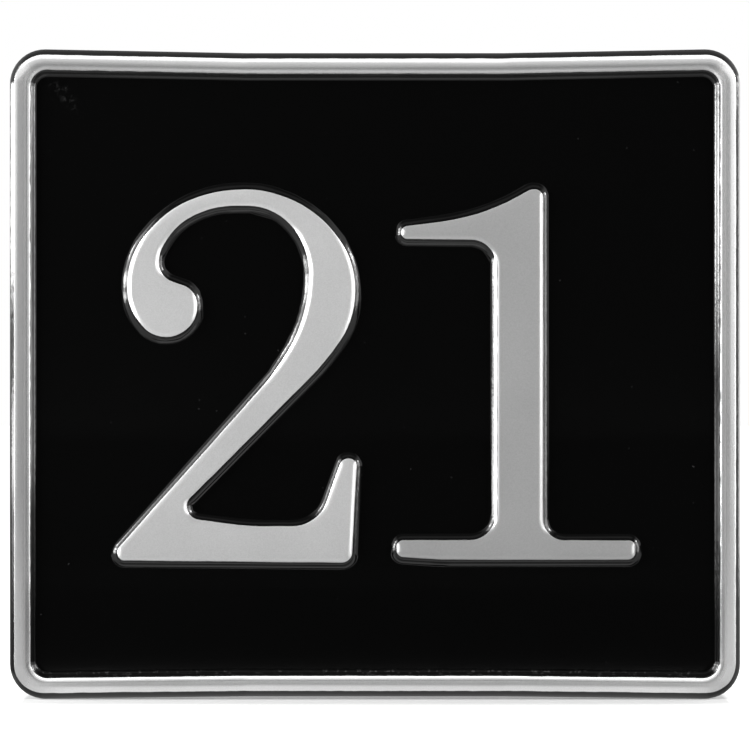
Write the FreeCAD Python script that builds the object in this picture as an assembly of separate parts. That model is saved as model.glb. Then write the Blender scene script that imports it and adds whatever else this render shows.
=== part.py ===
import FreeCAD, Part
import math
import os
from collections import namedtuple
from itertools import pairwise

# House number plaque, pressed from one sheet of aluminium.
#
# The plaque stands upright in its own frame: +X is to the right and +Z is up as it is read,
# and the front faces -Y. The origin is at the centre of its back, which is the plane Y = 0.
# A height below is a height above that back plane, towards the front.
#
# The sheet has one thickness throughout, so every raised part is hollow behind. On the front
# each bend is round; on the back, one thickness under it, the sheet turns with plain corners.

# Sheet and press
sheet = 1.0
emboss_height = 1.4

# Plate, over its corners before they are rounded
plate_width = 146.4
plate_height = 130.4
corner_radius = 7.0

# The bead is wider in the corners: its inner side follows the edge with corners this much rounder
inner_corner_extra = 0.6

# Pressing has pulled the middle of the top and bottom edges inwards: how far, how long
# each middle lies straight, and the radius with which the slanting ends run into it
draw_in_top = 0.9
draw_in_bottom = 0.52
drawn_in_middle = 52.0
draw_in_bend = 60.0

# Border bead: its crest, the wide round shoulder outside it and the tighter one inside, the
# root bend, and how steep its walls are, in degrees
bead_crest = 0.2
bead_outer_radius = 3.4
bead_inner_radius = 1.74
bead_root_radius = 0.92
bead_inner_angle = 56.0
bead_outer_angle = 62.0

# Plain corners that stand, on the back, for each of the bead's two round shoulders
bead_outer_corners = 3
bead_inner_corners = 2

# Numerals
numeral_height = 74.6
numeral_gap = 7.95
numeral_shift = 0.375
numeral_drop = 0.4
numeral_shoulder_radius = 1.4
numeral_root_radius = 1.75
numeral_wall_angle = 50.0

# A numeral's outline is drawn where its silver face ends. Its flat top ends farther in, by this
# share of its height
flat_top_inset_ratio = 0.01475

# Faces whose edges lie closer than this are sewn together
sewing_gap = 1e-5

Corner = namedtuple("Corner", "x z radius")
Straight = namedtuple("Straight", "start heading length")
Bend = namedtuple("Bend", "start heading centre turn end")
Step = namedtuple("Step", "flat_edge side shoulder_radius root_radius angle")


def numeral_two():
    """The numeral 2 as drawn, from its left end and base line: turning points and their radii.

    They run anticlockwise from the top of its bowl.
    """
    return [
        Corner(29.3, 74.6, 20.0),
        Corner(19.6, 74.6, 27.0),
        Corner(10.4, 70.7, 20.0),
        Corner(1.9, 61.6, 16.0),
        Corner(1.9, 51.1, 10.5),
        Corner(6.7, 45.1, 6.0),
        Corner(16.0, 45.1, 6.2),
        Corner(16.0, 54.4, 4.2),
        Corner(8.25, 57.1, 4.1),
        Corner(8.25, 62.0, 6.5),
        Corner(11.4, 67.1, 12.0),
        Corner(18.2, 71.3, 17.5),
        Corner(29.8, 71.3, 11.0),
        Corner(34.8, 67.8, 11.5),
        Corner(38.3, 61.8, 15.0),
        Corner(38.3, 48.4, 30.0),
        Corner(30.5, 36.8, 40.0),
        Corner(0.0, 2.65, 1.9),
        Corner(0.0, 0.35, 1.4),
        Corner(46.85, -0.1, 2.1),
        Corner(47.95, 20.7, 1.5),
        Corner(45.0, 20.7, 1.6),
        Corner(41.4, 10.8, 7.0),
        Corner(38.4, 7.15, 7.2),
        Corner(25.3, 7.2, 60.0),
        Corner(13.9, 8.8, 2.7),
        Corner(13.9, 12.2, 2.2),
        Corner(41.8, 40.2, 50.0),
        Corner(47.6, 48.8, 17.5),
        Corner(47.6, 60.0, 17.0),
        Corner(40.3, 70.5, 22.0),
    ]


def numeral_one():
    """The numeral 1 as drawn, from its left end and base line: turning points and their radii.

    They run anticlockwise from the top of its stem.
    """
    return [
        Corner(29.3, 74.6, 1.7),
        Corner(26.8, 74.6, 2.5),
        Corner(19.3, 70.4, 40.0),
        Corner(10.2, 68.2, 60.0),
        Corner(0.95, 67.1, 1.2),
        Corner(0.95, 64.75, 1.2),
        Corner(19.8, 64.5, 4.8),
        Corner(19.8, 4.4, 5.2),
        Corner(0.0, 4.4, 1.3),
        Corner(0.0, 1.1, 1.35),
        Corner(8.5, 0.5, 60.0),
        Corner(47.75, 0.5, 1.5),
        Corner(47.75, 4.35, 1.3),
        Corner(29.3, 4.35, 4.3),
    ]


def plate_edge(radius):
    """The plate's edge with its corners rounded like this, anticlockwise from its bottom left corner."""
    half_width = plate_width / 2
    half_height = plate_height / 2
    half_middle = drawn_in_middle / 2
    bottom = -half_height + draw_in_bottom
    top = half_height - draw_in_top
    return [
        Corner(-half_width, -half_height, radius),
        Corner(-half_middle, bottom, draw_in_bend),
        Corner(half_middle, bottom, draw_in_bend),
        Corner(half_width, -half_height, radius),
        Corner(half_width, half_height, radius),
        Corner(half_middle, top, draw_in_bend),
        Corner(-half_middle, top, draw_in_bend),
        Corner(-half_width, half_height, radius),
    ]


def placed(corners, scale, left):
    """A drawn numeral's corners at full size, with its left end put in place."""
    base = -numeral_drop - numeral_height / 2
    return [
        Corner(left + corner.x * scale, base + corner.z * scale, corner.radius * scale)
        for corner in corners
    ]


def numeral_outlines():
    """The two numerals' outlines, side by side in the middle of the plate."""
    two, one = numeral_two(), numeral_one()
    scale = numeral_height / max(corner.z for corner in two)
    width = scale * max(corner.x for corner in two)
    placed_two = placed(two, scale, numeral_shift - width - numeral_gap / 2)
    placed_one = placed(one, scale, numeral_shift + numeral_gap / 2)
    return rounded_outline(placed_two), rounded_outline(placed_one)


def direction(degrees):
    """The unit vector of a heading, as x and z."""
    angle = math.radians(degrees)
    return math.cos(angle), math.sin(angle)


def heading_between(first, last):
    """The heading from one corner to another, in degrees."""
    return math.degrees(math.atan2(last.z - first.z, last.x - first.x))


def rounded_corner(before, corner, after):
    """The arc that rounds a corner between the straights from and to its neighbours."""
    arriving = heading_between(before, corner)
    leaving = heading_between(corner, after)
    turn = (leaving - arriving + 180) % 360 - 180
    arriving_x, arriving_z = direction(arriving)
    leaving_x, leaving_z = direction(leaving)
    reach = corner.radius * abs(math.tan(math.radians(turn / 2)))
    leftwards = math.copysign(corner.radius, turn)
    start = (corner.x - reach * arriving_x, corner.z - reach * arriving_z)
    centre = (start[0] - leftwards * arriving_z, start[1] + leftwards * arriving_x)
    end = (corner.x + reach * leaving_x, corner.z + reach * leaving_z)
    return Bend(start, arriving, centre, turn, end)


def rounded_outline(corners):
    """The closed outline that runs straight between its corners and rounds each one."""
    neighbours = zip(corners[-1:] + corners[:-1], corners, corners[1:] + corners[:1])
    bends = [rounded_corner(*three) for three in neighbours]
    stretches = []
    for bend, following in zip(bends, bends[1:] + bends[:1]):
        length = math.dist(bend.end, following.start)
        stretches += [bend, Straight(bend.end, bend.heading + bend.turn, length)]
    return stretches


def root_edge(step):
    """Where a step's root bend reaches the field, as an offset outwards from the outline."""
    lean = math.radians(step.angle)
    bends = step.shoulder_radius + step.root_radius
    wall_run = (emboss_height - bends * (1 - math.cos(lean))) / math.tan(lean)
    return step.flat_edge + step.side * (bends * math.sin(lean) + wall_run)


def shoulder_point(step, turned):
    """The point of a step's shoulder bend, on the front, where the sheet has turned this far."""
    offset = step.flat_edge + step.side * step.shoulder_radius * math.sin(turned)
    return offset, sheet + emboss_height - step.shoulder_radius * (1 - math.cos(turned))


def root_point(step, turned):
    """The point of a step's root bend, on the front, where the sheet still leans this far."""
    offset = root_edge(step) - step.side * step.root_radius * math.sin(turned)
    return offset, sheet + step.root_radius * (1 - math.cos(turned))


def front_of_step(step):
    """The section of a step on the front: its shoulder, its wall and its root."""
    lean = math.radians(step.angle)
    return [
        (shoulder_point(step, 0), shoulder_point(step, lean / 2), shoulder_point(step, lean)),
        (shoulder_point(step, lean), root_point(step, lean)),
        (root_point(step, lean), root_point(step, lean / 2), root_point(step, 0)),
    ]


def back_flat_edge(step):
    """Where the raised flat ends on the back, one thickness under the shoulder."""
    reach = (step.shoulder_radius - sheet) * math.tan(math.radians(step.angle / 2))
    return step.flat_edge + step.side * reach


def back_corners(step, count):
    """Evenly turned corners of the back, from the flat down, one thickness under a round shoulder."""
    half_turn = math.radians(step.angle / 2 / count)
    radius = (step.shoulder_radius - sheet) / math.cos(half_turn)
    centre_height = sheet + emboss_height - step.shoulder_radius
    corners = []
    for number in range(count):
        turned = half_turn * (2 * number + 1)
        offset = step.flat_edge + step.side * radius * math.sin(turned)
        corners.append((offset, centre_height + radius * math.cos(turned)))
    return corners


def back_root_edge(step):
    """Where the field ends on the back, one thickness under the root."""
    reach = (step.root_radius + sheet) * math.tan(math.radians(step.angle / 2))
    return root_edge(step) - step.side * reach


def section_edge(stretch, points):
    """One line or arc of a section, set square to the outline at the start of a stretch."""
    along_x, along_z = direction(stretch.heading)
    start_x, start_z = stretch.start
    places = [
        FreeCAD.Vector(start_x + offset * along_z, -height, start_z - offset * along_x)
        for offset, height in points
    ]
    if len(places) == 2:
        return Part.LineSegment(*places).toShape()
    return Part.Arc(*places).toShape()


def swept(stretch, shape):
    """A shape carried along a stretch: extruded along a straight, or revolved round a bend's centre."""
    if isinstance(stretch, Straight):
        along_x, along_z = direction(stretch.heading)
        return shape.extrude(FreeCAD.Vector(along_x * stretch.length, 0, along_z * stretch.length))
    centre = FreeCAD.Vector(stretch.centre[0], 0, stretch.centre[1])
    return shape.revolve(centre, FreeCAD.Vector(0, -1, 0), stretch.turn)


def swept_faces(outline, section):
    """The faces of a section carried round a closed outline."""
    return [swept(stretch, section_edge(stretch, points)) for stretch in outline for points in section]


def level_wire(outline, offset, height):
    """The closed wire that runs level, at an offset outwards from an outline."""
    edges = []
    for stretch in outline:
        along_x, along_z = direction(stretch.heading)
        start_x, start_z = stretch.start
        place = FreeCAD.Vector(start_x + offset * along_z, -height, start_z - offset * along_x)
        edges.append(swept(stretch, Part.Vertex(place)))
    return Part.Wire(edges)


def level_face(outer, *holes):
    """A flat face inside one wire and outside the others."""
    return Part.makeFace([outer, *holes], "Part::FaceMakerBullseye")


def numeral_faces(outline, step):
    """Both skins of one raised numeral."""
    front_top = sheet + emboss_height
    back_top = emboss_height
    back_wall = [((back_flat_edge(step), back_top), (back_root_edge(step), 0.0))]
    return [
        *swept_faces(outline, front_of_step(step)),
        *swept_faces(outline, back_wall),
        level_face(level_wire(outline, step.flat_edge, front_top)),
        level_face(level_wire(outline, back_flat_edge(step), back_top)),
    ]


def bead_faces(edge, outer, inner_edge, inner, rim_height):
    """Both skins of the border bead and the cut edge of the sheet, each side along its own outline."""
    lean = math.radians(outer.angle)
    rim = (0.0, rim_height)
    back_rim = (-sheet * math.sin(lean), 0.0)
    outer_corners = back_corners(outer, bead_outer_corners)
    inner_corners = back_corners(inner, bead_inner_corners)
    outer_section = [
        (shoulder_point(outer, 0), shoulder_point(outer, lean / 2), shoulder_point(outer, lean)),
        (shoulder_point(outer, lean), rim),
        *pairwise([rim, back_rim, *reversed(outer_corners)]),
    ]
    inner_section = [
        *front_of_step(inner),
        *pairwise([*inner_corners, (back_root_edge(inner), 0.0)]),
    ]
    front_top = sheet + emboss_height
    front_crest = ((outer.flat_edge, front_top), (inner.flat_edge, front_top))
    back_crest = (outer_corners[0], inner_corners[0])
    return [
        *swept_faces(edge, outer_section),
        *swept_faces(inner_edge, inner_section),
        *[level_face(level_wire(edge, *outside), level_wire(inner_edge, *inside))
          for outside, inside in (front_crest, back_crest)],
    ]


def pressed_sheet():
    """The whole plaque: its front and back skins and its cut edge, sewn into one solid."""
    edge = rounded_outline(plate_edge(corner_radius))
    inner_edge = rounded_outline(plate_edge(corner_radius + inner_corner_extra))
    numerals = numeral_outlines()

    rim_lean = math.radians(bead_outer_angle)
    rim_height = sheet * math.cos(rim_lean)
    rim_drop = sheet + emboss_height - bead_outer_radius * (1 - math.cos(rim_lean)) - rim_height
    bead_outside = -bead_outer_radius * math.sin(rim_lean) - rim_drop / math.tan(rim_lean)

    # The rim has no root bend: its wall ends at the sheet's cut edge
    outer = Step(bead_outside, 1, bead_outer_radius, None, bead_outer_angle)
    inner = Step(bead_outside - bead_crest, -1, bead_inner_radius, bead_root_radius, bead_inner_angle)
    numeral_edge = -flat_top_inset_ratio * numeral_height
    numeral = Step(numeral_edge, 1, numeral_shoulder_radius, numeral_root_radius, numeral_wall_angle)

    faces = bead_faces(edge, outer, inner_edge, inner, rim_height)
    for outline in numerals:
        faces += numeral_faces(outline, numeral)
    for edge_of_field, height in ((root_edge, sheet), (back_root_edge, 0.0)):
        holes = [level_wire(outline, edge_of_field(numeral), height) for outline in numerals]
        faces.append(level_face(level_wire(inner_edge, edge_of_field(inner), height), *holes))

    skin = Part.Compound(faces)
    skin.sewShape(sewing_gap)
    return Part.Solid(skin.Shells[0])


os.makedirs("parts", exist_ok=True)
plaque = pressed_sheet()
plaque.exportStep("parts/plaque.step")
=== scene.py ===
import math
import bpy
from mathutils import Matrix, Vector


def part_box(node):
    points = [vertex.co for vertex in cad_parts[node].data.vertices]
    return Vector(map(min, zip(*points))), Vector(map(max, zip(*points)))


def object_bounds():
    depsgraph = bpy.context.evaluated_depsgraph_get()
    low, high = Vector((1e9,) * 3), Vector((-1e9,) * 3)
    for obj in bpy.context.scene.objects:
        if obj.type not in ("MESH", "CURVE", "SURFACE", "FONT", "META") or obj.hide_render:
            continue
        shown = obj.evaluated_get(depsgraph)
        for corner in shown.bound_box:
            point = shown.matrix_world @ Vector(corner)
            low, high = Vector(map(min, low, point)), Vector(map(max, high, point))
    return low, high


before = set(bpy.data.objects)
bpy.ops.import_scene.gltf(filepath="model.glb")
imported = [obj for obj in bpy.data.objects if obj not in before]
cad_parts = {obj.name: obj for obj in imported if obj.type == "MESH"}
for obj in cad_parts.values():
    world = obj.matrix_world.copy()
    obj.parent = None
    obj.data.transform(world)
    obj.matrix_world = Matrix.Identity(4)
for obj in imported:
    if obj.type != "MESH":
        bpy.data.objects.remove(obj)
cad_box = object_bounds()

# House number plaque: one pressed sheet, gloss black in front, with silver foil on the raised
# tops of its border bead and numerals, and bare metal behind. +X right, +Z up, front to -Y.

MM = 0.001

# Raised tops of the numerals and the bead, above the back plane
TOP = 2.4

# The photograph: pixels each way, and millimetres a pixel at the raised tops
FRAME_PIXELS = 750
PIXEL = 0.2
CAMERA_DISTANCE = 750.0
PLATE_ABOVE_MIDDLE = 0.24

# Where the bead begins, in mm across and up from the middle, and the sideways lean of its bends
# times their distance from the middle, also in mm, that makes them wholly inner or outer ones
BEAD_ACROSS = 65.0
BEAD_UP = 57.0
BEAD_LEAN = 2.0

# How far the foil reaches down from the raised tops, in mm
NUMERAL_FOIL = 0.53
STEM_FOIL_EXTRA = 0.35
# Depth of the painted dark line along the 1's stem, in mm
STEM_DARK_LINE = 0.28
BEAD_FOIL_INSIDE = 0.27
BEAD_FOIL_SIDES = 0.72
BEAD_FOIL_TOP = 0.55

# Foil tones with painted light and shade in them: the numerals, the bead's top and bottom, and its sides
# with what they gain a millimetre
LIT_TONE_TWO = 0.575
LIT_TONE_ONE = 0.4
LIT_TONE_BEAD_TOP = 0.4
LIT_TONE_BEAD_BOTTOM = 0.53
LIT_TONE_BEAD_SIDES = 0.6
PAINTED_LIGHT_RIGHTWARDS = 0.0011
PAINTED_LIGHT_UPWARDS = 0.0011

# How much more or less than the sheet the foil turns on its bends: sideways, and on level ones
NUMERAL_TURN_LEFT = 2.0
NUMERAL_TURN_LEFT_LOW = 0.65
ONE_TURN_LEFT = 0.9
NUMERAL_TURN_RIGHT = 1.25
NUMERAL_TURN_SLANTED = 0.36
NUMERAL_TURN_DOWN = 0.5
NUMERAL_TURN_UP = 0.1
BEAD_TURN_INSIDE = 1.25
BEAD_TURN_LEVEL = 1.5
BEAD_TURN_OUTSIDE_LEFT = 0.43
BEAD_TURN_OUTSIDE_RIGHT = 0.6

# How rough and how metallic the foil is
NUMERAL_ROUGHNESS = 0.42
BEAD_ROUGHNESS_LEVEL = 0.28
BEAD_ROUGHNESS_SIDES = 0.2
FOIL_METALLIC = 0.75
FOIL_SPECULAR = 0.5

# The lacquer: its tone, and its gloss on faces that look ahead, down and up; the lower gloss on faces that
# look down and up is painted shade in what they mirror, and the flecks are dust
LACQUER_TONE = 0.0014
LACQUER_ROUGHNESS = 0.09
LACQUER_IOR = 1.5
GLOSS_AHEAD = 0.5
GLOSS_UNDER_NUMERAL = 0.45
GLOSS_UNDER_BEAD = 0.38
GLOSS_UNDER_RIM = 0.28
GLOSS_UP_SHADED = 0.03
GLOSS_FLECK = 0.18
GLOSS_TOP_RIM = 0.2
# Gloss kept on the low walls inside the bead and on its left: painted shade in what they mirror
GLOSS_LOW_WALL_SHADED = 0.2

# The middle of the dust smear: x less z, and x plus z, in mm
SMEAR_ALONG = -118.0
SMEAR_ACROSS = -6.5

# A face whose normal looks back by more than this has the back's finish
BACK_LOOKS_BACK = 0.05

# The cut edge is an exception: it lies this near the sheet's sides or ends and this near the
# back plane, in mm, and looks back by more than the first share and less than the second
CUT_FROM_SIDE = 1.8
CUT_FROM_END = 2.6
CUT_DEPTH = 0.47
CUT_LOOKS_BACK = (0.8, 0.93)

# Faces of the sheet are joined within this reach, in mm, and bends sharper than this stay corners
JOIN_REACH = 0.001
CORNER_DEGREES = 32.0

# The floor's painted glow, seen only in mirrors: what it gains over each stretch ahead of the plaque, in mm;
# it is painted light and shade in what the plaque's bottom bead mirrors
FLOOR_PAINTED_GLOW = 1.0
FLOOR_PAINTED_GLOW_STEPS = ((5.0, 10.0, -1.0), (18.0, 30.0, 0.8), (60.0, 90.0, 0.2), (200.0, 350.0, -0.7))
FLOOR_PAINTED_GLOW_BEYOND_ENDS = 0.45
FLOOR_HALF_SIDE = 4000.0

# How near the plaque the floor is darkened by its painted contact shadow, from ambient occlusion, in mm
PAINTED_SHADOW_REACH = 20.0

WHITE = (1, 1, 1, 1)
CARD_BLACK = (0.001, 0.001, 0.001, 1)
FILL_STRENGTH = 0.8


class Graph:
    """A material's or the world's node tree, with short ways to add nodes."""

    def __init__(self, tree):
        self.tree = tree
        tree.nodes.clear()

    def add(self, kind, inputs=None, **settings):
        node = self.tree.nodes.new(kind)
        for name, value in settings.items():
            setattr(node, name, value)
        for name, value in (inputs or {}).items():
            self.feed(node.inputs[name], value)
        return node

    def feed(self, socket, value):
        if isinstance(value, bpy.types.NodeSocket):
            self.tree.links.new(value, socket)
        else:
            socket.default_value = value

    def math(self, operation, *values):
        node = self.add("ShaderNodeMath", operation=operation)
        for socket, value in zip(node.inputs, values):
            self.feed(socket, value)
        return node.outputs[0]

    def ramp(self, value, low, high, to_low=0.0, to_high=1.0, smooth=True):
        """A value mapped from low..high to to_low..to_high, held at both ends."""
        node = self.add(
            "ShaderNodeMapRange",
            {"Value": value, "From Min": low, "From Max": high, "To Min": to_low, "To Max": to_high},
            interpolation_type="SMOOTHSTEP" if smooth else "LINEAR",
        )
        return node.outputs["Result"]

    def mix(self, kind, suffix, factor, first, second):
        node = self.add("ShaderNodeMix", data_type=kind)
        sockets = {socket.identifier: socket for socket in node.inputs}
        self.feed(sockets["Factor_Float"], factor)
        self.feed(sockets["A_" + suffix], first)
        self.feed(sockets["B_" + suffix], second)
        outputs = {socket.identifier: socket for socket in node.outputs}
        return outputs["Result_" + suffix]

    def blend(self, factor, first, second):
        """A number that goes from first to second."""
        return self.mix("FLOAT", "Float", factor, first, second)

    def blend_colours(self, factor, first, second):
        return self.mix("RGBA", "Color", factor, first, second)

    def colour(self, red, green, blue):
        return self.add("ShaderNodeCombineColor", {0: red, 1: green, 2: blue}).outputs[0]

    def grey(self, tone):
        return self.colour(tone, tone, tone)

    def noise(self, place, scale, detail=2.0, roughness=0.5):
        """Noise from 0 to 1; scale is in features a metre."""
        node = self.add(
            "ShaderNodeTexNoise",
            {"Vector": place, "Scale": scale, "Detail": detail, "Roughness": roughness},
        )
        return node.outputs[0]

    def streaks(self, place, scales, detail, roughness=0.5):
        """Noise with its own scale along each axis."""
        stretched = self.add("ShaderNodeMapping", {"Vector": place, "Scale": scales}).outputs[0]
        return self.noise(stretched, 1.0, detail, roughness)

    def own_place(self):
        """The place on the object, in metres from its origin."""
        return self.add("ShaderNodeTexCoord").outputs["Object"]

    def split(self, vector):
        return self.add("ShaderNodeSeparateXYZ", {0: vector}).outputs

    def bump(self, height, strength, distance):
        node = self.add("ShaderNodeBump", {"Height": height, "Strength": strength, "Distance": distance})
        return node.outputs[0]


def new_surface(name):
    material = bpy.data.materials.new(name)
    material.use_nodes = True
    return material, Graph(material.node_tree)


def new_material(name):
    material, graph = new_surface(name)
    shader = graph.add("ShaderNodeBsdfPrincipled")
    output = graph.add("ShaderNodeOutputMaterial", {"Surface": shader.outputs[0]})
    output.is_active_output = True
    return material, graph, shader


def past(graph, value, limit):
    """1 where a coordinate is farther from the middle than a limit."""
    return graph.math("GREATER_THAN", graph.math("ABSOLUTE", value), limit)


def inner_to_outer(graph, outwards, inner, outer):
    """A value that goes from the bead's inner side to its outer side."""
    return graph.ramp(outwards, -BEAD_LEAN * MM, BEAD_LEAN * MM, inner, outer)


def foil_mask(graph, place, height, outwards, in_bead, share, on_stem):
    """How much foil there is, and a painted dark line in it, both from 0 to 1.

    The foil lies on the raised tops and part of their shoulders. The dark line runs along the bend on the
    left of the 1's
    stem: the foil is left out there and the black has no gloss, a painted shade.
    """
    outside = graph.blend(share, BEAD_FOIL_TOP, BEAD_FOIL_SIDES)
    on_bead = inner_to_outer(graph, outwards, BEAD_FOIL_INSIDE, outside)
    on_numeral = graph.math("MULTIPLY_ADD", on_stem, STEM_FOIL_EXTRA, NUMERAL_FOIL)
    reach = graph.blend(in_bead, on_numeral, on_bead)
    slow = graph.math("MULTIPLY_ADD", graph.noise(place, 90.0, detail=1.0), 0.24, -0.12)
    fine = graph.math("MULTIPLY_ADD", graph.noise(place, 350.0, detail=4.0), 0.16, -0.08)
    waver = graph.math("ADD", graph.math("MULTIPLY", slow, graph.blend(in_bead, 1.0, 0.3)), fine)
    edge = graph.math("SUBTRACT", TOP, graph.math("ADD", reach, waver))
    foil = graph.ramp(graph.math("SUBTRACT", height, edge), -0.04, 0.04)
    beside_dark_line = graph.math("ABSOLUTE", graph.math("SUBTRACT", height, TOP - STEM_DARK_LINE))
    opened = graph.ramp(graph.math("ADD", beside_dark_line, fine), 0.06, 0.12, 0.8, 0.0)
    dark_line = graph.math("MULTIPLY", opened, on_stem)
    return graph.math("MULTIPLY", foil, graph.math("SUBTRACT", 1.0, dark_line)), dark_line


def facing(graph, normal_x, normal_z):
    """How squarely a bend faces left or right, from 0 to 1, and how squarely up, from -1 to 1."""
    across = graph.math("MULTIPLY", normal_x, normal_x)
    lean = graph.math("MULTIPLY_ADD", normal_z, normal_z, across)
    share = graph.math("DIVIDE", across, graph.math("ADD", lean, 0.001))
    upwards = graph.math("DIVIDE", normal_z, graph.math("SQRT", graph.math("ADD", lean, 0.01)))
    return share, upwards


def foil_normal(graph, normal, z, foil, in_bead, outwards, share, on_one):
    """The foil bridges some bends and follows others, so it turns less or more there than the sheet."""
    normal_x, _, normal_z = graph.split(normal)
    numeral_upright = graph.ramp(normal_z, -0.05, 0.05, NUMERAL_TURN_DOWN, NUMERAL_TURN_UP)
    rightwards = graph.math("GREATER_THAN", normal_x, 0.0)
    leftward_turn = graph.ramp(z, 0.0, -15.0 * MM, NUMERAL_TURN_LEFT, NUMERAL_TURN_LEFT_LOW)
    leftward_turn = graph.blend(on_one, leftward_turn, ONE_TURN_LEFT)
    most = graph.blend(rightwards, leftward_turn, NUMERAL_TURN_RIGHT)
    numeral_sideways = graph.ramp(share, 0.5, 1.0, NUMERAL_TURN_SLANTED, most)
    outside = graph.blend(rightwards, BEAD_TURN_OUTSIDE_LEFT, BEAD_TURN_OUTSIDE_RIGHT)
    bead_sideways = inner_to_outer(graph, outwards, BEAD_TURN_INSIDE, outside)
    bead_upright = inner_to_outer(graph, outwards, BEAD_TURN_LEVEL, 1.0)
    sideways = graph.blend(in_bead, numeral_sideways, bead_sideways)
    upright = graph.blend(in_bead, numeral_upright, bead_upright)
    scale = graph.add(
        "ShaderNodeCombineXYZ",
        {0: graph.blend(foil, 1.0, sideways), 1: 1.0, 2: graph.blend(foil, 1.0, upright)},
    ).outputs[0]
    turned = graph.add("ShaderNodeVectorMath", {0: normal, 1: scale}, operation="MULTIPLY").outputs[0]
    return graph.add("ShaderNodeVectorMath", {0: turned}, operation="NORMALIZE").outputs[0]


def smear(graph, place, dust):
    """A faint wiped patch of dust in the field's top left corner."""
    x, _, z = graph.split(place)
    along = graph.math("SUBTRACT", graph.math("SUBTRACT", x, z), SMEAR_ALONG * MM)
    across = graph.math("SUBTRACT", graph.math("ADD", x, z), SMEAR_ACROSS * MM)
    squares = graph.math("MULTIPLY", across, graph.math("MULTIPLY", across, 9.0))
    away = graph.math("SQRT", graph.math("MULTIPLY_ADD", along, along, squares))
    patch = graph.ramp(away, 2.0 * MM, 8.0 * MM, 1.0, 0.0)
    return graph.math("MULTIPLY", patch, graph.ramp(dust, 0.48, 0.66, 0.0, 0.008))


def low_wall_painted_shade(graph, x, z, share, outwards, in_bead):
    """1 on the low upright walls inside the bead and outside it on the left, whose gloss is cut there as
    painted shade.
    """
    inner = graph.ramp(outwards, 0.0, -5.0 * MM)
    left = graph.ramp(x, -62.0 * MM, -64.0 * MM)
    inner_or_left = graph.math("MAXIMUM", inner, left)
    upright = graph.ramp(share, 0.85, 0.97)
    wall = graph.math("MULTIPLY", graph.math("MULTIPLY", in_bead, inner_or_left), upright)
    height = graph.math("MULTIPLY_ADD", x, -0.19, z)
    return graph.math("MULTIPLY", wall, graph.ramp(height, -3.0 * MM, -15.0 * MM))


def black_gloss(graph, x, z, share, outwards, upwards, in_bead, dust):
    """How glossy the black is: less where it faces down and where it faces up, a painted shade in what those
    faces mirror, with glossy flecks of dust on the bead, and duller low on some of the bead's walls.
    """
    on_rim = graph.math("MULTIPLY", in_bead, graph.ramp(outwards, 0.0, 20.0 * MM))
    under_bead = graph.blend(on_rim, GLOSS_UNDER_BEAD, GLOSS_UNDER_RIM)
    underside = graph.blend(in_bead, GLOSS_UNDER_NUMERAL, under_bead)
    # Painted shade: less gloss on faces that look down
    level = graph.ramp(upwards, -0.4, -0.8, GLOSS_AHEAD, underside)
    bead_flecks = graph.ramp(dust, 0.54, 0.64, GLOSS_UP_SHADED, GLOSS_FLECK)
    shade_and_flecks = graph.blend(in_bead, GLOSS_UP_SHADED, bead_flecks)
    gloss_facing_up = graph.blend(on_rim, shade_and_flecks, GLOSS_TOP_RIM)
    # Painted shade: the least gloss on faces that look up, with glossy flecks of dust on the bead
    gloss = graph.ramp(upwards, 0.55, 0.85, level, gloss_facing_up)
    # Painted shade: the low walls lose most of their gloss
    low = low_wall_painted_shade(graph, x, z, share, outwards, in_bead)
    return graph.math("MULTIPLY", gloss, graph.blend(low, 1.0, GLOSS_LOW_WALL_SHADED))


def silver_with_painted_light(graph, place, x, z, in_bead, on_one, grain):
    """The foil's tone with painted light and shade: each numeral's own, and the bead's, lighter to the right
    and upwards; the grain and cloud vary it at random.
    """
    # Painted light and shade: the 2 lighter than the 1, and the bead's top, bottom and sides each their own
    # tone, lighter to the right and upwards
    numerals = graph.blend(on_one, LIT_TONE_TWO, LIT_TONE_ONE)
    sides = graph.math("MULTIPLY_ADD", x, PAINTED_LIGHT_RIGHTWARDS / MM, LIT_TONE_BEAD_SIDES)
    sides = graph.math("MULTIPLY_ADD", z, PAINTED_LIGHT_UPWARDS / MM, sides)
    beside = graph.math("SUBTRACT", graph.math("ABSOLUTE", x), graph.math("ABSOLUTE", z))
    in_lower_half = past(graph, graph.math("MINIMUM", z, 0.0), 1.0 * MM)
    level = graph.blend(in_lower_half, LIT_TONE_BEAD_TOP, LIT_TONE_BEAD_BOTTOM)
    bead = graph.blend(graph.ramp(beside, 6.0 * MM, 10.0 * MM), level, sides)
    tone = graph.blend(in_bead, numerals, bead)
    cloud = graph.noise(place, 60.0, detail=2.0)
    tone = graph.math("MULTIPLY", tone, graph.ramp(grain, 0.3, 0.7, 0.93, 1.07, smooth=False))
    tone = graph.math("MULTIPLY", tone, graph.ramp(cloud, 0.3, 0.7, 0.97, 1.03, smooth=False))
    return graph.grey(tone)


def lacquer_colour(graph, place, dust):
    """The black, with specks of dust and the smear."""
    specks = graph.ramp(dust, 0.7, 0.78, 0.0, 0.03)
    dusted = graph.math("ADD", LACQUER_TONE, specks)
    return graph.grey(graph.math("ADD", dusted, smear(graph, place, dust)))


def front_bumps(graph, place, grain, foil, in_bead, normal_x):
    """The foil's grain, and streaks in the black, deepest on walls that face sideways."""
    streaks = graph.streaks(place, (2600.0, 2600.0, 700.0), detail=3.0, roughness=0.6)
    texture = graph.blend(foil, streaks, grain)
    sideways = graph.ramp(graph.math("ABSOLUTE", normal_x), 0.3, 0.6)
    on_wall = graph.math("MULTIPLY", sideways, graph.math("SUBTRACT", 1.0, foil))
    wall_depth = graph.blend(in_bead, 0.055 * MM, 0.04 * MM)
    strength = graph.blend(on_wall, 0.25, 1.0)
    return graph.bump(texture, strength, graph.blend(on_wall, 0.02 * MM, wall_depth))


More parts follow.
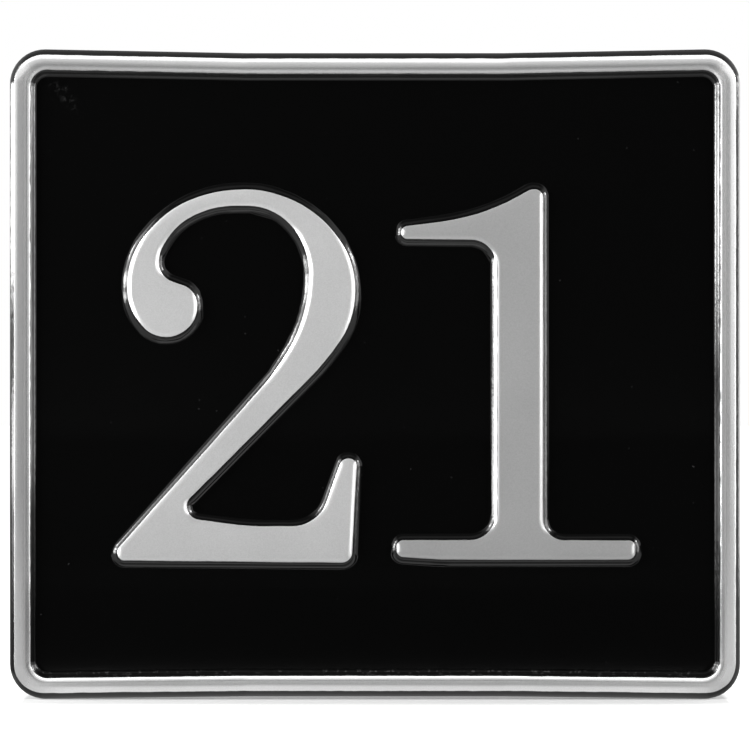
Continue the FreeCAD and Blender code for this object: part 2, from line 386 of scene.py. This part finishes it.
def front_material():
    """Gloss black lacquer, with silver foil on the raised tops: matt on the numerals, bright on the bead."""
    material, graph, shader = new_material("lacquer_and_foil")
    place = graph.own_place()
    x, y, z = graph.split(place)
    height = graph.math("MULTIPLY", y, -1 / MM)
    normal = graph.add("ShaderNodeNewGeometry").outputs["Normal"]
    normal_x, _, normal_z = graph.split(normal)
    outwards = graph.math("ADD", graph.math("MULTIPLY", normal_x, x), graph.math("MULTIPLY", normal_z, z))
    share, upwards = facing(graph, normal_x, normal_z)
    in_bead = graph.math("MAXIMUM", past(graph, x, BEAD_ACROSS * MM), past(graph, z, BEAD_UP * MM))
    on_one = graph.ramp(x, 0.0, 2.0 * MM)
    leftwards = graph.math("MULTIPLY", graph.ramp(normal_x, -0.02, -0.1), graph.ramp(share, 0.9, 0.99))
    on_stem = graph.math("MULTIPLY", leftwards, graph.ramp(x, 18.0 * MM, 20.0 * MM))
    foil, dark_line = foil_mask(graph, place, height, outwards, in_bead, share, on_stem)
    grain = graph.noise(place, 5200.0, detail=3.0)
    dust = graph.noise(place, 900.0, detail=3.0, roughness=0.7)

    silver = silver_with_painted_light(graph, place, x, z, in_bead, on_one, grain)
    lacquer = lacquer_colour(graph, place, dust)
    graph.feed(shader.inputs["Base Color"], graph.blend_colours(foil, lacquer, silver))
    graph.feed(shader.inputs["Metallic"], graph.math("MULTIPLY", foil, FOIL_METALLIC))
    bead_roughness = graph.ramp(share, 0.3, 0.9, BEAD_ROUGHNESS_LEVEL, BEAD_ROUGHNESS_SIDES)
    foil_roughness = graph.blend(in_bead, NUMERAL_ROUGHNESS, bead_roughness)
    graph.feed(shader.inputs["Roughness"], graph.blend(foil, LACQUER_ROUGHNESS, foil_roughness))
    shader.inputs["IOR"].default_value = LACQUER_IOR
    gloss = black_gloss(graph, x, z, share, outwards, upwards, in_bead, dust)
    # Painted shade: no gloss in the dark line along the 1's stem
    gloss = graph.math("MULTIPLY", gloss, graph.math("SUBTRACT", 1.0, dark_line))
    graph.feed(shader.inputs["Specular IOR Level"], graph.blend(foil, gloss, FOIL_SPECULAR))

    bumps = front_bumps(graph, place, grain, foil, in_bead, normal_x)
    turned = foil_normal(graph, normal, z, foil, in_bead, outwards, share, on_one)
    graph.feed(bumps.node.inputs["Normal"], turned)
    graph.feed(shader.inputs["Normal"], bumps)
    return material


def back_material():
    """Bare rolled aluminium, with the faint lines that the rolls leave."""
    material, graph, shader = new_material("bare_back")
    place = graph.own_place()
    lines = graph.streaks(place, (60.0, 3000.0, 3000.0), detail=4.0, roughness=0.65)
    cloud = graph.noise(place, 45.0, detail=3.0)
    rolled = graph.ramp(lines, 0.3, 0.7, 0.44, 0.56, smooth=False)
    tone = graph.math("MULTIPLY", rolled, graph.ramp(cloud, 0.3, 0.7, 0.95, 1.05))
    cool = graph.math("MULTIPLY", tone, 1.02)
    graph.feed(shader.inputs["Base Color"], graph.colour(tone, tone, cool))
    shader.inputs["Metallic"].default_value = 0.9
    graph.feed(shader.inputs["Roughness"], graph.ramp(lines, 0.3, 0.7, 0.34, 0.48, smooth=False))
    graph.feed(shader.inputs["Normal"], graph.bump(lines, 0.2, 0.02 * MM))
    return material


def cut_material():
    """The sheet's cut edge: bright metal, drawn along by the blade."""
    material, graph, shader = new_material("cut_edge")
    drag = graph.streaks(graph.own_place(), (900.0, 6000.0, 900.0), detail=3.0)
    tone = graph.ramp(drag, 0.3, 0.7, 0.6, 0.78, smooth=False)
    graph.feed(shader.inputs["Base Color"], graph.grey(tone))
    shader.inputs["Metallic"].default_value = 1.0
    graph.feed(shader.inputs["Roughness"], graph.ramp(drag, 0.3, 0.7, 0.25, 0.4, smooth=False))
    graph.feed(shader.inputs["Normal"], graph.bump(drag, 0.2, 0.02 * MM))
    return material


FRONT, BACK, CUT = range(3)


def finish_for(polygon, half_width, half_height):
    """Which finish a face of the sheet has: its normal tells the back, and its place the cut edge."""
    if polygon.normal.y <= BACK_LOOKS_BACK:
        return FRONT
    near_side = abs(polygon.center.x) > half_width - CUT_FROM_SIDE * MM
    near_end = abs(polygon.center.z) > half_height - CUT_FROM_END * MM
    near_back = polygon.center.y > -CUT_DEPTH * MM
    least, most = CUT_LOOKS_BACK
    if (near_side or near_end) and near_back and least < polygon.normal.y < most:
        return CUT
    return BACK


def dress(plaque):
    """Gives the CAD node its three finishes and smooth bends."""
    mesh = plaque.data
    mesh.materials.clear()
    for material in (front_material(), back_material(), cut_material()):
        mesh.materials.append(material)
    low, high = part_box("plaque")
    half_width = (high.x - low.x) / 2
    half_height = (high.z - low.z) / 2
    for polygon in mesh.polygons:
        polygon.material_index = finish_for(polygon, half_width, half_height)
        polygon.use_smooth = True

    weld = plaque.modifiers.new("join_faces", "WELD")
    weld.merge_threshold = JOIN_REACH * MM
    split = plaque.modifiers.new("keep_corners", "EDGE_SPLIT")
    split.split_angle = math.radians(CORNER_DEGREES)
    smooth = plaque.modifiers.new("smooth_bends", "WEIGHTED_NORMAL")
    smooth.mode = "FACE_AREA"
    smooth.weight = 50


def light_paths(graph):
    """1 for rays that see the background: straight from the camera, mirrored or refracted."""
    path = graph.add("ShaderNodeLightPath").outputs
    seen = graph.math("MAXIMUM", path["Is Camera Ray"], path["Is Glossy Ray"])
    return graph.math("MAXIMUM", seen, path["Is Transmission Ray"])


def build_world():
    """White where it is seen, and a little dimmer as a light."""
    world = bpy.data.worlds.new("studio")
    bpy.context.scene.world = world
    world.use_nodes = True
    graph = Graph(world.node_tree)
    white = graph.add("ShaderNodeBackground", {"Color": WHITE, "Strength": 1.0})
    fill = graph.add("ShaderNodeBackground", {"Color": WHITE, "Strength": FILL_STRENGTH})
    shades = {0: light_paths(graph), 1: fill.outputs[0], 2: white.outputs[0]}
    mixed = graph.add("ShaderNodeMixShader", shades)
    graph.add("ShaderNodeOutputWorld", {"Surface": mixed.outputs[0]})


def panel(name, centre, right, up, material):
    """A flat staged panel from its centre and the half-sides right and up, in mm."""
    corners = [centre - right - up, centre + right - up, centre + right + up, centre - right + up]
    mesh = bpy.data.meshes.new(name)
    mesh.from_pydata([corner * MM for corner in corners], [], [(0, 1, 2, 3)])
    mesh.materials.append(material)
    item = bpy.data.objects.new(name, mesh)
    bpy.context.scene.collection.objects.link(item)
    return item


def floor_with_painted_shadow():
    """Pale, with a painted contact shadow along the plaque's foot, and a painted glow in what the plaque's
    bottom bead mirrors.
    """
    material, graph = new_surface("floor")
    # Ambient occlusion paints the contact shadow into the floor's colour and its glow
    open_air = graph.add("ShaderNodeAmbientOcclusion", {"Distance": PAINTED_SHADOW_REACH * MM}).outputs["AO"]
    x, y, _ = graph.split(graph.own_place())
    beyond_ends = graph.ramp(graph.math("ABSOLUTE", x), 60.0 * MM, 73.0 * MM)
    open_air = graph.math("MAXIMUM", open_air, beyond_ends)
    path = graph.add("ShaderNodeLightPath").outputs
    # Painted shadow: the floor's colour darker near the plaque, and darker still in mirrors
    shade = graph.ramp(open_air, 0.5, 0.6, 0.3, graph.blend(path["Is Glossy Ray"], 0.48, 0.15))
    paint = graph.add("ShaderNodeBsdfDiffuse", {0: graph.grey(shade)})
    seen = graph.ramp(open_air, 0.86, 1.0, 0.0, 0.7, smooth=False)
    ahead = graph.math("MULTIPLY", y, -1 / MM)
    # Painted glow, seen in mirrors, brighter and darker by distance ahead of the plaque
    painted_glow = FLOOR_PAINTED_GLOW
    for start, end, gain in FLOOR_PAINTED_GLOW_STEPS:
        painted_glow = graph.math("ADD", painted_glow, graph.ramp(ahead, start, end, 0.0, gain))
    painted_glow = graph.blend(beyond_ends, painted_glow, FLOOR_PAINTED_GLOW_BEYOND_ENDS)
    glow = graph.blend(path["Is Camera Ray"], graph.math("MULTIPLY", light_paths(graph), painted_glow), seen)
    lift = graph.add("ShaderNodeEmission", {"Color": WHITE, "Strength": glow})
    both = graph.add("ShaderNodeAddShader", {0: paint.outputs[0], 1: lift.outputs[0]})
    graph.add("ShaderNodeOutputMaterial", {"Surface": both.outputs[0]})
    return material


def build_floor():
    """A plain floor that the plaque stands on."""
    low, _ = cad_box
    right = Vector((FLOOR_HALF_SIDE, 0, 0))
    back = Vector((0, FLOOR_HALF_SIDE, 0))
    panel("floor", Vector((0, 0, low.z / MM)), right, back, floor_with_painted_shadow())


def card_material():
    material, graph = new_surface("black_card")
    paint = graph.add("ShaderNodeBsdfDiffuse", {"Color": CARD_BLACK})
    graph.add("ShaderNodeOutputMaterial", {"Surface": paint.outputs[0]})
    return material


def build_cards():
    """Upright black cards in front, which only the gloss sees: they keep the black black.

    Each low one hides the stretch of bright floor that the plaque would mirror behind it.
    Each has its place, half its width, and the heights of its bottom and top, in mm.
    """
    material = card_material()
    floor_height = cad_box[0].z / MM
    cards = (
        ("front", -100, -1500, 900, floor_height - 400, 450),
        ("near", 0, -60, 76, floor_height, -50),
        ("middle", 0, -200, 105, floor_height, -46),
        ("far", 0, -420, 500, floor_height, -28),
    )
    for name, x, y, half_width, bottom, top in cards:
        centre = Vector((x, y, (bottom + top) / 2))
        right = Vector((half_width, 0, 0))
        up = Vector((0, 0, (top - bottom) / 2))
        card = panel("card_" + name, centre, right, up, material)
        card.visible_camera = False
        card.visible_diffuse = False
        card.visible_shadow = False


def build_lamps():
    """Soft boxes beside and above, low bars that the walls mirror, and small ones for the corners.

    Each has its place, the point it is turned to, its size in metres and its power in watts.
    """
    boxes = (
        ("soft_left", (-0.5, -0.15, 0.1), (0, 0, 0), (0.25, 0.62), 2.7),
        ("soft_right", (0.5, -0.15, 0.05), (0, 0, 0), (0.25, 0.5), 2.0),
        ("soft_top", (0.0, -0.27, 0.52), (0, 0, 0), (0.7, 0.28), 1.85),
        ("bar_left", (-0.5, -0.03, 0.066), (0, -0.03, 0.066), (0.46, 0.072), 2.7),
        ("bar_low_left", (-0.5, -0.15, -0.035), (0, -0.15, -0.035), (0.54, 0.055), 1.3),
        ("spot_right", (0.5, 0.0, 0.1), (0, 0.0, 0.1), (0.3, 0.012), 0.2),
        ("rim_right", (0.5, 0.3, 0.05), (0, 0.3, 0.05), (0.3, 0.3), 1.4),
        ("small_left", (-0.42, -0.2, 0.2), (0, 0, 0), (0.08, 0.08), 0.6),
        ("small_right", (0.42, -0.2, 0.2), (0, 0, 0), (0.08, 0.08), 0.6),
    )
    for name, place, aim, size, power in boxes:
        light = bpy.data.lights.new(name, "AREA")
        light.shape = "RECTANGLE"
        light.size, light.size_y = size
        light.energy = power
        lamp = bpy.data.objects.new(name, light)
        lamp.location = Vector(place)
        lamp.rotation_euler = (Vector(aim) - lamp.location).to_track_quat("-Z", "Y").to_euler()
        lamp.visible_camera = False
        bpy.context.scene.collection.objects.link(lamp)


def build_camera():
    """Straight in front of the photograph's middle, with the photograph's width at the raised tops."""
    data = bpy.data.cameras.new("camera")
    data.sensor_width = 36.0
    data.lens = data.sensor_width * CAMERA_DISTANCE / (FRAME_PIXELS * PIXEL)
    data.clip_start = 0.01
    data.clip_end = 20.0
    camera = bpy.data.objects.new("camera", data)
    camera.location = Vector((0, -(CAMERA_DISTANCE + TOP), -PLATE_ABOVE_MIDDLE)) * MM
    camera.rotation_euler = (math.radians(90), 0, 0)
    bpy.context.scene.collection.objects.link(camera)
    bpy.context.scene.camera = camera


dress(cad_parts["plaque"])
build_world()
build_floor()
build_cards()
build_lamps()
build_camera()
bpy.context.scene.view_settings.view_transform = "Standard"
